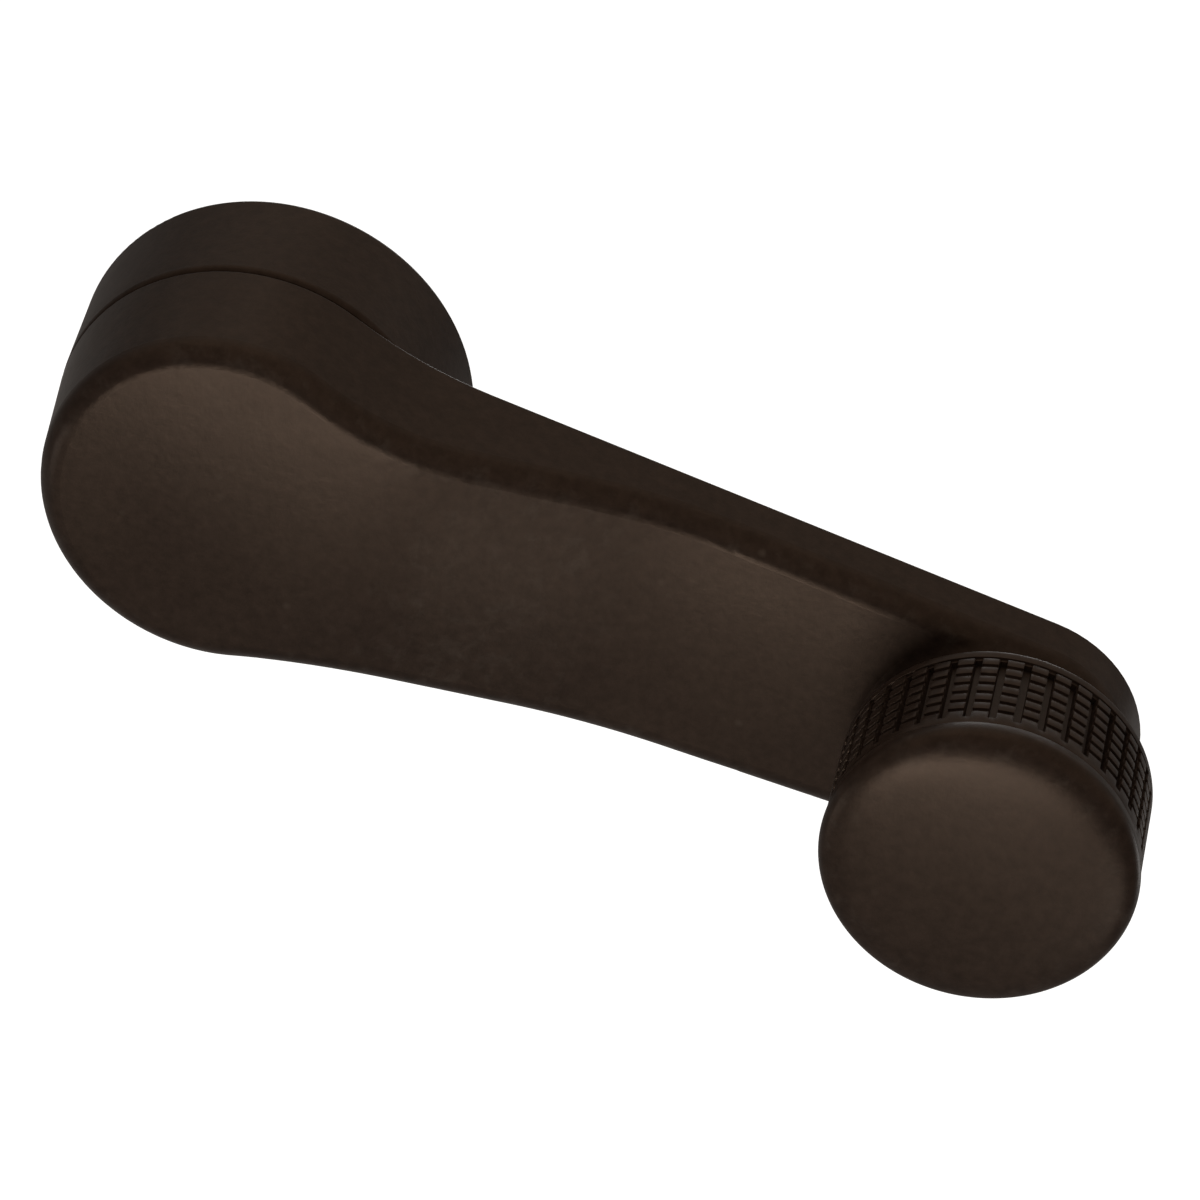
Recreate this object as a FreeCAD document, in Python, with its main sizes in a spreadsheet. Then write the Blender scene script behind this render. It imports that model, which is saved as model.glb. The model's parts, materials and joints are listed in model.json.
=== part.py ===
import FreeCAD, Part
import math
import os
import Sketcher
from FreeCAD import Placement, Rotation, Vector

# Car window winder handle.
# Each piece is drawn with its Z axis along the spindle, away from the door, and X along the arm.
# Level zero is the door card, which the ring's back face touches.
# Every piece is then stood up, so that the spindle lies along -Y and the arm along +X.

DRIVING_SIZES = {
    # arm, seen from the front
    "crank_radius": 86.8,
    "head_radius": 20.9,
    "tip_radius": 14.2,
    "neck_radius": 52,
    "side_angle": 2.1,
    "wall_draft": 8,
    # arm, seen from the side
    "arm_back": 14.2,
    "head_face": 28.9,
    "arm_face": 21.4,
    "shoulder_start": 7,
    "face_bend_radius": 66,
    "face_slope": 14.6,
    "crown_radius": 170,
    "edge_radius": 2.8,
    "back_edge_radius": 0.4,
    # arm, hollow behind
    "arm_wall": 2.4,
    "rib_thickness": 1.6,
    "rib_recess": 0.8,
    "cross_rib_count": 5,
    "cross_rib_first": 27,
    "cross_rib_end_space": 13.8,
    "head_rib_count": 6,
    "pin_boss_radius": 6.4,
    "pin_boss_back": 17.6,
    # raised pad under the knob
    "pad_radius": 12.2,
    "pad_top": 25.2,
    "pad_cove": 3.6,
    # hub and its serrated metal socket
    "hub_radius": 10,
    "hub_back": 1.4,
    "insert_across_flats": 15,
    "insert_front": 20.5,
    "socket_front": 18.5,
    "serration_tip_radius": 5.9,
    "serration_root_radius": 6.5,
    "serration_count": 24,
    "lead_in_radius": 6.7,
    "lead_in_depth": 3,
    # sliding lock ring
    "ring_back_radius": 22.05,
    "ring_front_radius": 20.95,
    "ring_wall": 2,
    "ring_plate": 2.2,
    "ring_gap": 0.2,
    "ring_travel": 5.8,
    "ring_rib_count": 8,
    "ring_rib_back": 3,
    "collar_wall": 1.4,
    "collar_back": 2.6,
    "ring_edge_radius": 0.8,
    # wire clip
    "wire_radius": 0.8,
    "clip_level": 7,
    "groove_radius": 4.2,
    "clip_end": 6,
    "clip_bend_radius": 2.6,
    "wire_clearance": 0.25,
    # knob
    "knob_base": 25.75,
    "lip_inset": 0.1,
    "lip_height": 1.3,
    "lip_edge_radius": 0.4,
    "grip_radius": 16.5,
    "knob_wall": 2.6,
    "groove_count": 40,
    "groove_turn": 7,
    "groove_width": 0.85,
    "groove_depth": 1,
    "grip_length": 11.4,
    "cut_count": 6,
    "cut_pitch": 1.68,
    "cut_width": 0.6,
    "cut_depth": 0.45,
    "knob_seam": 39.5,
    "rim_back_step": 0.05,
    "rim_flare": 0.35,
    "knob_face": 42.9,
    "knob_dome": 0.7,
    "shoulder_radius": 2.6,
    "cap_wall": 2,
    "cap_skirt_depth": 2.4,
    "cap_skirt_wall": 1.3,
    "knob_hub_wall": 2,
    "knob_web": 2,
    # pin and the stack on it
    "pin_radius": 3,
    "journal_radius": 4,
    "collar_radius": 6,
    "collar_height": 0.9,
    "rivet_radius": 4.6,
    "rivet_height": 1.4,
    "pin_washer_radius": 5.6,
    "pin_washer_thickness": 1,
    "thrust_washer_radius": 7.4,
    "thrust_washer_thickness": 0.5,
    "bush_wall": 1,
    "bush_length": 8.6,
    "disc_spring_radius": 6.6,
    "disc_spring_thickness": 0.4,
    "disc_spring_rise": 0.5,
    "retainer_radius": 6,
    "retainer_thickness": 0.8,
    "groove_neck_radius": 3.2,
    "pin_end_length": 1.2,
    # fits
    "running_clearance": 0.05,
    "sliding_clearance": 0.3,
    "seat_clearance": 0.03,
    "play": 0.1,
    "overrun": 3,
}

SHEET = "Sizes"
CLOSE_TO_ZERO = 1e-9
FULL_TURN = 360
STANDING = Rotation(Vector(1, 0, 0), 90)
FLAT_PLANE = "XY_Plane"
SIDE_PLANE = "XZ_Plane"
END_PLANE = "YZ_Plane"
SPINDLE_AXIS = "Z_Axis"
ARM_AXIS = "X_Axis"
START = 1
END = 2
CENTRE = 3
HORIZONTAL = -1
VERTICAL = -2
SHARP_ANGLE = 15


class Size:
    """A number together with the sheet expression that gives it."""

    def __init__(self, number, text):
        self.number = float(number)
        self.text = text

    def __float__(self):
        return self.number

    def __neg__(self):
        return Size(-self.number, f"(-{self.text})")

    def __add__(self, other):
        other = as_size(other)
        return Size(self.number + other.number, f"({self.text} + {other.text})")

    def __sub__(self, other):
        other = as_size(other)
        return Size(self.number - other.number, f"({self.text} - {other.text})")

    def __mul__(self, other):
        other = as_size(other)
        return Size(self.number * other.number, f"({self.text} * {other.text})")

    def __truediv__(self, other):
        other = as_size(other)
        return Size(self.number / other.number, f"({self.text} / {other.text})")

    def __rmul__(self, other):
        return as_size(other) * self


def as_size(value):
    """Let a plain count or share take part in sums of sizes."""
    if isinstance(value, Size):
        return value
    return Size(value, repr(value))


def sine(angle):
    return Size(math.sin(math.radians(angle.number)), f"sin({angle.text})")


def cosine(angle):
    return Size(math.cos(math.radians(angle.number)), f"cos({angle.text})")


def square_root(size):
    return Size(math.sqrt(size.number), f"sqrt({size.text})")


class Sizes:
    """The driving sizes by name, each bound to its cell in the sheet."""

    def __init__(self, document, table):
        sheet = document.addObject("Spreadsheet::Sheet", SHEET)
        for row, (name, value) in enumerate(table.items(), start=1):
            sheet.set(f"A{row}", name)
            sheet.set(f"B{row}", str(value))
            sheet.setAlias(f"B{row}", name)
            setattr(self, name, Size(value, f"{SHEET}.{name}"))
        document.recompute()


document = FreeCAD.newDocument("window_winder_handle")
size = Sizes(document, DRIVING_SIZES)
ZERO = Size(0, "0")
pieces = []


def new_body(name):
    body = document.addObject("PartDesign::Body", name)
    body.Label = name
    return body


def origin_feature(body, role):
    return next(item for item in body.Origin.OriginFeatures if item.Role == role)


def new_sketch(body, name, plane, level=ZERO):
    """Attach a sketch to a plane of its own body, moved along the plane's normal."""
    sketch = body.newObject("Sketcher::SketchObject", name)
    sketch.AttachmentSupport = [(origin_feature(body, plane), "")]
    sketch.MapMode = "FlatFace"
    sketch.AttachmentOffset = Placement(Vector(0, 0, level.number), Rotation())
    sketch.setExpression("AttachmentOffset.Base.z", level.text)
    return sketch


def vector(across, up):
    return Vector(across.number, up.number, 0)


def measure(sketch, kind, places, wanted):
    """Add a dimension to a sketch and bind it to the sheet."""
    index = sketch.addConstraint(Sketcher.Constraint(kind, *places, wanted.number))
    sketch.setExpression(f"Constraints[{index}]", wanted.text)


def fix_point(sketch, geometry, point, across, up):
    """Hold a point at its distances from the sketch's origin."""
    for kind, distance, axis in (("DistanceX", across, VERTICAL), ("DistanceY", up, HORIZONTAL)):
        if abs(distance.number) < CLOSE_TO_ZERO:
            sketch.addConstraint(Sketcher.Constraint("PointOnObject", geometry, point, axis))
        else:
            measure(sketch, kind, (HORIZONTAL, START, geometry, point), distance)


def polygon(sketch, corners):
    """Draw a closed outline through corners given as pairs of sizes."""
    points = [vector(across, up) for across, up in corners]
    lines = [
        sketch.addGeometry(Part.LineSegment(start, end), False)
        for start, end in zip(points, points[1:] + points[:1])
    ]
    for line, following in zip(lines, lines[1:] + lines[:1]):
        sketch.addConstraint(Sketcher.Constraint("Coincident", line, END, following, START))
    for line, (across, up) in zip(lines, corners):
        fix_point(sketch, line, START, across, up)
    return sketch


def circle(sketch, radius, across=ZERO):
    centre = vector(across, ZERO)
    index = sketch.addGeometry(Part.Circle(centre, Vector(0, 0, 1), radius.number), False)
    fix_point(sketch, index, CENTRE, across, ZERO)
    measure(sketch, "Radius", (index,), radius)
    return sketch


def rectangle(sketch, left, right, bottom, top):
    return polygon(sketch, [(left, bottom), (right, bottom), (right, top), (left, top)])


def arc(sketch, centre, radius, from_degrees, to_degrees):
    whole = Part.Circle(centre, Vector(0, 0, 1), radius.number)
    curve = Part.ArcOfCircle(whole, math.radians(from_degrees), math.radians(to_degrees))
    return sketch.addGeometry(curve, False)


def line(sketch, start, end):
    return sketch.addGeometry(Part.LineSegment(start, end), False)


def touch(sketch, first, first_point, second, second_point):
    """Join two ends so that one curve runs smoothly into the other."""
    sketch.addConstraint(Sketcher.Constraint("Tangent", first, first_point, second, second_point))


def pad(body, sketch, height, draft=None):
    feature = body.newObject("PartDesign::Pad", sketch.Name + "_pad")
    feature.Profile = sketch
    feature.Length = height.number
    feature.setExpression("Length", height.text)
    if draft is not None:
        feature.TaperAngle = -draft.number
        feature.setExpression("TaperAngle", "-" + draft.text)
    return settle(feature)


def pocket(body, sketch, depth):
    """Cut upwards from the sketch, away from the door."""
    before = body.Shape.Volume
    feature = body.newObject("PartDesign::Pocket", sketch.Name + "_pocket")
    feature.Profile = sketch
    feature.Length = depth.number
    feature.setExpression("Length", depth.text)
    feature.Reversed = True
    return require_cut(body, before, feature)


def settle(feature):
    """Work a feature out and stop if it failed without saying so."""
    document.recompute()
    if "Invalid" in feature.State:
        raise RuntimeError(f"{feature.Name} failed")
    return feature


def require_cut(body, before, feature):
    settle(feature)
    if not body.Shape.Volume < before:
        raise RuntimeError(f"{feature.Name} cuts nothing")
    return feature


def revolve(body, sketch):
    feature = body.newObject("PartDesign::Revolution", sketch.Name + "_turned")
    feature.Profile = sketch
    feature.ReferenceAxis = (sketch, ["V_Axis"])
    feature.Angle = FULL_TURN
    return settle(feature)


def turned_cut(body, sketch):
    before = body.Shape.Volume
    feature = body.newObject("PartDesign::Groove", sketch.Name + "_cut")
    feature.Profile = sketch
    feature.ReferenceAxis = (sketch, ["V_Axis"])
    feature.Angle = FULL_TURN
    return require_cut(body, before, feature)


def repeat_round(body, feature, count):
    pattern = body.newObject("PartDesign::PolarPattern", feature.Name + "_round")
    pattern.Originals = [feature]
    pattern.Axis = (origin_feature(body, SPINDLE_AXIS), [""])
    pattern.Angle = FULL_TURN
    pattern.Occurrences = int(count.number)
    pattern.setExpression("Occurrences", count.text)
    body.Tip = pattern
    return settle(pattern)


def repeat_along(body, feature, axis, span, count):
    pattern = body.newObject("PartDesign::LinearPattern", feature.Name + "_row")
    pattern.Originals = [feature]
    pattern.Direction = (origin_feature(body, axis), [""])
    pattern.Length = span.number
    pattern.setExpression("Length", span.text)
    pattern.Occurrences = int(count.number)
    pattern.setExpression("Occurrences", count.text)
    body.Tip = pattern
    return settle(pattern)


def middle_of(edge):
    return edge.valueAt((edge.FirstParameter + edge.LastParameter) / 2)


def is_sharp(shape, edge):
    """Tell a real corner from the seam between two faces that run on smoothly."""
    faces = shape.ancestorsOfType(edge, Part.Face)
    if len(faces) != 2:
        return False
    normals = []
    for face in faces:
        u, v = face.Surface.parameter(middle_of(edge))
        normals.append(face.normalAt(u, v))
    return math.degrees(normals[0].getAngle(normals[1])) > SHARP_ANGLE


def corner_names(shape, wanted):
    """Name the sharp edges whose middle point passes the test."""
    return [
        f"Edge{number}"
        for number, edge in enumerate(shape.Edges, start=1)
        if wanted(middle_of(edge)) and is_sharp(shape, edge)
    ]


def fillet(body, radius, wanted):
    base = body.Tip
    names = corner_names(base.Shape, wanted)
    if not names:
        raise RuntimeError(f"{body.Name} has no edge to round")
    feature = body.newObject("PartDesign::Fillet", base.Name + "_rounded")
    feature.Base = (base, names)
    feature.Radius = radius.number
    feature.setExpression("Radius", radius.text)
    return settle(feature)


def stand(piece, along=ZERO):
    """Turn a piece from its drawing position to the mounted one, and keep it for writing."""
    piece.Placement = Placement(Vector(along.number, 0, 0), STANDING)
    piece.setExpression("Placement.Base.x", along.text)
    pieces.append(piece)
    return piece


def side_angle_of(height, length):
    return math.degrees(math.atan2(height, length))


def arm_outline(sketch, inset):
    """Head circle, concave neck, straight sides and round tip, all moved inwards alike."""
    head = size.head_radius - inset
    tip = size.tip_radius - inset
    neck = size.neck_radius + inset
    slant, level = sine(size.side_angle), cosine(size.side_angle)
    side_distance = size.crank_radius * slant + tip
    neck_distance = side_distance + neck
    neck_along = square_root((head + neck) * (head + neck) - neck_distance * neck_distance)
    neck_x = neck_along * level + neck_distance * slant
    neck_y = neck_distance * level - neck_along * slant
    joint_x = neck_x - neck * slant
    joint_y = neck_y - neck * level
    tip_x = size.crank_radius + tip * slant
    tip_y = tip * level
    slope = size.side_angle.number
    lean = side_angle_of(neck_y.number, neck_x.number)
    half, whole = FULL_TURN / 2, FULL_TURN
    quarter = half / 2
    hub, tip_centre = Vector(0, 0, 0), vector(size.crank_radius, ZERO)
    head_arc = arc(sketch, hub, head, lean, whole - lean)
    lower_neck = arc(sketch, vector(neck_x, -neck_y), neck, quarter + slope, half - lean)
    lower_side = line(sketch, vector(joint_x, -joint_y), vector(tip_x, -tip_y))
    tip_arc = arc(sketch, tip_centre, tip, slope - quarter, quarter - slope)
    upper_side = line(sketch, vector(joint_x, joint_y), vector(tip_x, tip_y))
    upper_neck = arc(sketch, vector(neck_x, neck_y), neck, half + lean, half + quarter - slope)
    touch(sketch, head_arc, START, upper_neck, START)
    touch(sketch, head_arc, END, lower_neck, END)
    touch(sketch, upper_neck, END, upper_side, START)
    touch(sketch, lower_neck, START, lower_side, START)
    touch(sketch, upper_side, END, tip_arc, END)
    touch(sketch, lower_side, END, tip_arc, START)
    fix_point(sketch, head_arc, CENTRE, ZERO, ZERO)
    fix_point(sketch, tip_arc, CENTRE, size.crank_radius, ZERO)
    measure(sketch, "Radius", (head_arc,), head)
    measure(sketch, "Radius", (tip_arc,), tip)
    measure(sketch, "Radius", (upper_neck,), neck)
    measure(sketch, "Radius", (lower_neck,), neck)
    measure(sketch, "DistanceY", (HORIZONTAL, START, upper_side, START), joint_y)
    measure(sketch, "DistanceY", (HORIZONTAL, START, lower_side, START), -joint_y)
    return sketch


def fall_to_arm():
    return size.head_face - size.arm_face


def face_path(sketch, depth):
    """Side view of the face: level head, S-shaped neck and level arm, sunk by a depth."""
    slant, level = sine(size.face_slope), cosine(size.face_slope)
    bend = size.face_bend_radius
    high, low = size.head_face - depth, size.arm_face - depth
    upper, lower = bend - depth, bend + depth
    straight = (fall_to_arm() - 2 * bend * (as_size(1) - level)) / slant
    start = -(size.head_radius + size.overrun)
    end = size.crank_radius + size.tip_radius + size.overrun
    bend_end_x = size.shoulder_start + upper * slant
    bend_end_z = high - upper + upper * level
    foot_x = bend_end_x + straight * level
    foot_z = bend_end_z - straight * slant
    settle_x = foot_x + lower * slant
    quarter = FULL_TURN / 4
    slope = size.face_slope.number
    head_line = line(sketch, vector(start, high), vector(size.shoulder_start, high))
    shoulder_centre = vector(size.shoulder_start, high - upper)
    shoulder = arc(sketch, shoulder_centre, upper, quarter - slope, quarter)
    neck_line = line(sketch, vector(bend_end_x, bend_end_z), vector(foot_x, foot_z))
    foot = arc(sketch, vector(settle_x, low + lower), lower, -quarter - slope, -quarter)
    arm_line = line(sketch, vector(settle_x, low), vector(end, low))
    touch(sketch, head_line, END, shoulder, END)
    touch(sketch, shoulder, START, neck_line, START)
    touch(sketch, neck_line, END, foot, START)
    touch(sketch, foot, END, arm_line, START)
    fix_point(sketch, head_line, START, start, high)
    fix_point(sketch, head_line, END, size.shoulder_start, high)
    fix_point(sketch, arm_line, END, end, low)
    measure(sketch, "Radius", (shoulder,), upper)
    measure(sketch, "Radius", (foot,), lower)
    measure(sketch, "DistanceX", (HORIZONTAL, START, neck_line, START), bend_end_x)
    return sketch


def crown_section(sketch, depth):
    """Everything above the face's slightly crowned cross-section."""
    half_width = size.head_radius + size.overrun
    crown = size.crown_radius - depth
    apex = size.head_face - depth
    drop = crown - square_root(crown * crown - half_width * half_width)
    edge = apex - drop
    top = size.head_face + fall_to_arm() + size.overrun
    reach = math.degrees(math.asin(half_width.number / crown.number))
    quarter = FULL_TURN / 4
    centre = vector(ZERO, apex - crown)
    crown_arc = arc(sketch, centre, crown, quarter - reach, quarter + reach)
    left = line(sketch, vector(-half_width, edge), vector(-half_width, top))
    lid = line(sketch, vector(-half_width, top), vector(half_width, top))
    right = line(sketch, vector(half_width, top), vector(half_width, edge))
    for first, second in ((left, lid), (lid, right)):
        sketch.addConstraint(Sketcher.Constraint("Coincident", first, END, second, START))
    sketch.addConstraint(Sketcher.Constraint("Coincident", crown_arc, END, left, START))
    sketch.addConstraint(Sketcher.Constraint("Coincident", crown_arc, START, right, END))
    fix_point(sketch, left, START, -half_width, edge)
    fix_point(sketch, lid, START, -half_width, top)
    fix_point(sketch, lid, END, half_width, top)
    fix_point(sketch, right, END, half_width, edge)
    measure(sketch, "Radius", (crown_arc,), crown)
    return sketch


def shape_face(body, depth):
    """Sweep the crowned section along the side view and cut away what is above it."""
    before = body.Shape.Volume
    start = -(size.head_radius + size.overrun)
    section = crown_section(new_sketch(body, "crown", END_PLANE, start), depth)
    path = face_path(new_sketch(body, "face_line", SIDE_PLANE), depth)
    feature = body.newObject("PartDesign::SubtractivePipe", "face")
    feature.Profile = section
    feature.Spine = (path, [])
    return require_cut(body, before, feature)


def blank_height():
    return size.head_face - size.arm_back + size.overrun / 2


def arm_outside():
    """The arm as a solid block: outline, face, soft edge, pad, hub and holes."""
    body = new_body("arm_outside")
    outline = arm_outline(new_sketch(body, "outline", FLAT_PLANE, size.arm_back), ZERO)
    pad(body, outline, blank_height(), size.wall_draft)
    shape_face(body, ZERO)
    above_back = size.arm_back.number + size.edge_radius.number
    fillet(body, size.edge_radius, lambda point: point.z > above_back)
    just_above_back = size.arm_back.number + size.seat_clearance.number
    fillet(body, size.back_edge_radius, lambda point: point.z < just_above_back)
    pad_foot = size.arm_face - size.arm_wall / 2
    raised = new_sketch(body, "knob_pad", FLAT_PLANE, pad_foot)
    pad(body, circle(raised, size.pad_radius, size.crank_radius), size.pad_top - pad_foot)
    fillet(body, size.pad_cove, beside_pad)
    hub = circle(new_sketch(body, "hub", FLAT_PLANE, size.hub_back), size.hub_radius)
    pad(body, hub, size.arm_back - size.hub_back + size.overrun)
    cut_socket_seat(body)
    cut_clip_slots(body)
    hole = new_sketch(body, "pin_hole", FLAT_PLANE)
    circle(hole, size.pin_radius + size.seat_clearance, size.crank_radius)
    pocket(body, hole, size.pad_top + size.overrun)
    return body


def beside_pad(point):
    """The line where the raised pad leaves the arm's face."""
    reach = math.hypot(point.x - size.crank_radius.number, point.y)
    near = abs(reach - size.pad_radius.number) < size.seat_clearance.number
    return near and point.z < size.arm_face.number + size.edge_radius.number / 2


def hexagon(sketch, across_flats):
    half_flat = across_flats / 2
    corner = across_flats / square_root(as_size(3))
    half_corner = corner / 2
    corners = [
        (corner, ZERO),
        (half_corner, half_flat),
        (-half_corner, half_flat),
        (-corner, ZERO),
        (-half_corner, -half_flat),
        (half_corner, -half_flat),
    ]
    return polygon(sketch, corners)


def cut_socket_seat(body):
    below = size.hub_back - size.overrun
    across = size.insert_across_flats + 2 * size.seat_clearance
    seat = hexagon(new_sketch(body, "insert_seat", FLAT_PLANE, below), across)
    pocket(body, seat, size.insert_front + size.seat_clearance - below)


def cut_clip_slots(body):
    """Two slots across the hub that the clip's legs lie and slide in."""
    slot_back = size.clip_level - size.wire_radius - size.wire_clearance
    slot_height = 2 * (size.wire_radius + size.wire_clearance)
    inner = size.groove_radius - size.wire_clearance
    outer = size.hub_radius + size.overrun
    for name, near, far in (("upper_slot", inner, outer), ("lower_slot", -outer, -inner)):
        sketch = new_sketch(body, name, FLAT_PLANE, slot_back)
        rectangle(sketch, -outer, outer, near, far)
        pocket(body, sketch, slot_height)


def arm_core():
    """The hollow behind the arm, with gaps in it where the ribs and bosses stay."""
    body = new_body("arm_core")
    outline = arm_outline(new_sketch(body, "inner_outline", FLAT_PLANE, size.arm_back), size.arm_wall)
    pad(body, outline, blank_height(), size.wall_draft)
    shape_face(body, size.arm_wall)
    height = blank_height() + size.overrun
    keep = circle(new_sketch(body, "hub_gap", FLAT_PLANE, size.arm_back), size.hub_radius)
    pocket(body, keep, height)
    boss = new_sketch(body, "pin_boss_gap", FLAT_PLANE, size.pin_boss_back)
    pocket(body, circle(boss, size.pin_boss_radius, size.crank_radius), height)
    half_rib = size.rib_thickness / 2
    rib_back = size.arm_back + size.rib_recess
    spine = new_sketch(body, "spine_gap", FLAT_PLANE, rib_back)
    spine_end = size.crank_radius - size.pin_washer_radius - size.sliding_clearance
    rectangle(spine, ZERO, spine_end, -half_rib, half_rib)
    pocket(body, spine, height)
    rib = new_sketch(body, "cross_rib_gap", FLAT_PLANE, rib_back)
    reach = size.head_radius
    rectangle(rib, size.cross_rib_first - half_rib, size.cross_rib_first + half_rib, -reach, reach)
    cross_rib = pocket(body, rib, height)
    rib_span = size.crank_radius - size.cross_rib_end_space - size.cross_rib_first
    repeat_along(body, cross_rib, ARM_AXIS, rib_span, size.cross_rib_count)
    ray = new_sketch(body, "head_rib_gap", FLAT_PLANE, rib_back)
    rectangle(ray, -half_rib, half_rib, ZERO, size.head_radius)
    head_rib = pocket(body, ray, height)
    repeat_round(body, head_rib, size.head_rib_count)
    return body


def crank_arm():
    arm = document.addObject("Part::Cut", "crank_arm")
    arm.Base = arm_outside()
    arm.Tool = arm_core()
    document.recompute()
    return stand(arm)


def spindle_insert():
    body = new_body("spindle_insert")
    block = hexagon(new_sketch(body, "block", FLAT_PLANE, size.hub_back), size.insert_across_flats)
    pad(body, block, size.insert_front - size.hub_back)
    bore = circle(new_sketch(body, "bore", FLAT_PLANE, size.hub_back), size.serration_tip_radius)
    pocket(body, bore, size.socket_front - size.hub_back)
    notch = new_sketch(body, "serration", FLAT_PLANE, size.hub_back)
    depth = size.serration_root_radius - size.serration_tip_radius
    inside = size.serration_tip_radius - depth
    root = (size.serration_root_radius, ZERO)
    tooth_space = pocket(
        body,
        polygon(notch, [(inside, -2 * depth), root, (inside, 2 * depth)]),
        size.socket_front - size.hub_back,
    )
    repeat_round(body, tooth_space, size.serration_count)
    lead_in = circle(new_sketch(body, "lead_in", FLAT_PLANE, size.hub_back), size.lead_in_radius)
    pocket(body, lead_in, size.lead_in_depth)
    cut_clip_slots(body)
    return stand(body)


def slot_outline(sketch, clearance):
    """A round-ended slot that lets the ring slide along the arm past the hub."""
    radius = size.hub_radius + clearance
    back = size.ring_travel
    half, quarter = FULL_TURN / 2, FULL_TURN / 4
    far_end = arc(sketch, vector(-back, ZERO), radius, quarter, half + quarter)
    lower = line(sketch, vector(-back, -radius), vector(ZERO, -radius))
    near_end = arc(sketch, Vector(0, 0, 0), radius, -quarter, quarter)
    upper = line(sketch, vector(ZERO, radius), vector(-back, radius))
    touch(sketch, far_end, END, lower, START)
    touch(sketch, lower, END, near_end, START)
    touch(sketch, near_end, END, upper, START)
    touch(sketch, upper, END, far_end, START)
    fix_point(sketch, near_end, CENTRE, ZERO, ZERO)
    fix_point(sketch, far_end, CENTRE, -back, ZERO)
    measure(sketch, "Radius", (near_end,), radius)
    return sketch


def lock_ring():
    body = new_body("lock_ring")
    front = size.arm_back - size.ring_gap
    plate_back = front - size.ring_plate
    section = new_sketch(body, "ring_section", SIDE_PLANE)
    inner_back = size.ring_back_radius - size.ring_wall
    inner_front = size.ring_front_radius - size.ring_wall
    corners = [
        (ZERO, plate_back),
        (inner_front, plate_back),
        (inner_back, ZERO),
        (size.ring_back_radius, ZERO),
        (size.ring_front_radius, front),
        (ZERO, front),
    ]
    polygon(section, corners)
    revolve(body, section)
    outside = inner_back.number
    fillet(body, size.ring_edge_radius, lambda point: math.hypot(point.x, point.y) > outside)
    into_plate = size.ring_plate / 2
    collar = slot_outline(
        new_sketch(body, "collar", FLAT_PLANE, size.collar_back),
        size.sliding_clearance + size.collar_wall,
    )
    pad(body, collar, plate_back + into_plate - size.collar_back)
    half_rib = size.rib_thickness / 2
    ray = new_sketch(body, "ring_rib", FLAT_PLANE, size.ring_rib_back)
    ray_start = size.hub_radius + size.sliding_clearance + size.collar_wall / 2
    ray_end = size.ring_front_radius - size.ring_wall / 2
    rectangle(ray, ray_start, ray_end, -half_rib, half_rib)
    rib = pad(body, ray, plate_back + into_plate - size.ring_rib_back)
    repeat_round(body, rib, size.ring_rib_count)
    slot = slot_outline(new_sketch(body, "hub_slot", FLAT_PLANE), size.sliding_clearance)
    pocket(body, slot, size.arm_back)
    cut_clip_seat(body)
    return stand(body)


def clip_sizes():
    """Where the clip's wire runs: waist, wide legs and bridge behind the collar."""
    waist = size.groove_radius + size.wire_radius
    wide = size.serration_root_radius + size.wire_radius + size.wire_clearance
    bridge = (
        size.hub_radius + size.ring_travel + size.sliding_clearance
        + size.collar_wall + size.wire_radius + size.play
    )
    return waist, wide, bridge


def cut_clip_seat(body):
    """Room for the clip's bridge and legs, open towards the door so that the wire drops in."""
    wide, bridge = clip_sizes()[1:]
    room = size.wire_radius + size.play
    seat_front = size.clip_level + room
    sketch = new_sketch(body, "clip_seat", FLAT_PLANE)
    rectangle(sketch, -bridge - room, -bridge + room, -wide - room, wide + room)
    pocket(body, sketch, seat_front)
    for name, middle in (("upper_leg_seat", wide), ("lower_leg_seat", -wide)):
        leg = new_sketch(body, name, FLAT_PLANE)
        rectangle(leg, -bridge, ZERO, middle - room, middle + room)
        pocket(body, leg, seat_front)


def lock_clip():
    """One bent wire: a bridge, two legs and a waist that drops into the spindle's groove."""
    waist, wide, bridge = clip_sizes()
    level = size.clip_level.number
    bend = size.clip_bend_radius.number
    step_run = wide.number - waist.number
    corners = [
        Vector(size.clip_end.number, waist.number, level),
        Vector(0, waist.number, level),
        Vector(-step_run, wide.number, level),
        Vector(-bridge.number, wide.number, level),
    ]
    corners += [Vector(point.x, -point.y, point.z) for point in reversed(corners)]
    gentle = bend / 2
    radii = [gentle, gentle, bend, bend, gentle, gentle]
    path = rounded_path(corners, radii)
    start = Part.Wire(Part.makeCircle(size.wire_radius.number, corners[0], corners[1] - corners[0]))
    wire = document.addObject("Part::Feature", "lock_clip")
    wire.Shape = path.makePipeShell([start], True, False)
    return stand(wire)


def rounded_path(corners, radii):
    """Straight runs joined by tangent arcs."""
    edges = []
    here = corners[0]
    for before, corner, after, radius in zip(corners, corners[1:], corners[2:], radii):
        inward = (before - corner).normalize()
        outward = (after - corner).normalize()
        half_angle = inward.getAngle(outward) / 2
        setback = radius / math.tan(half_angle)
        arc_start = corner + inward * setback
        arc_end = corner + outward * setback
        to_centre = (inward + outward).normalize()
        middle = corner + to_centre * (radius / math.sin(half_angle) - radius)
        edges.append(Part.LineSegment(here, arc_start).toShape())
        edges.append(Part.Arc(arc_start, middle, arc_end).toShape())
        here = arc_end
    edges.append(Part.LineSegment(here, corners[-1]).toShape())
    return Part.Wire(edges)


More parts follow.
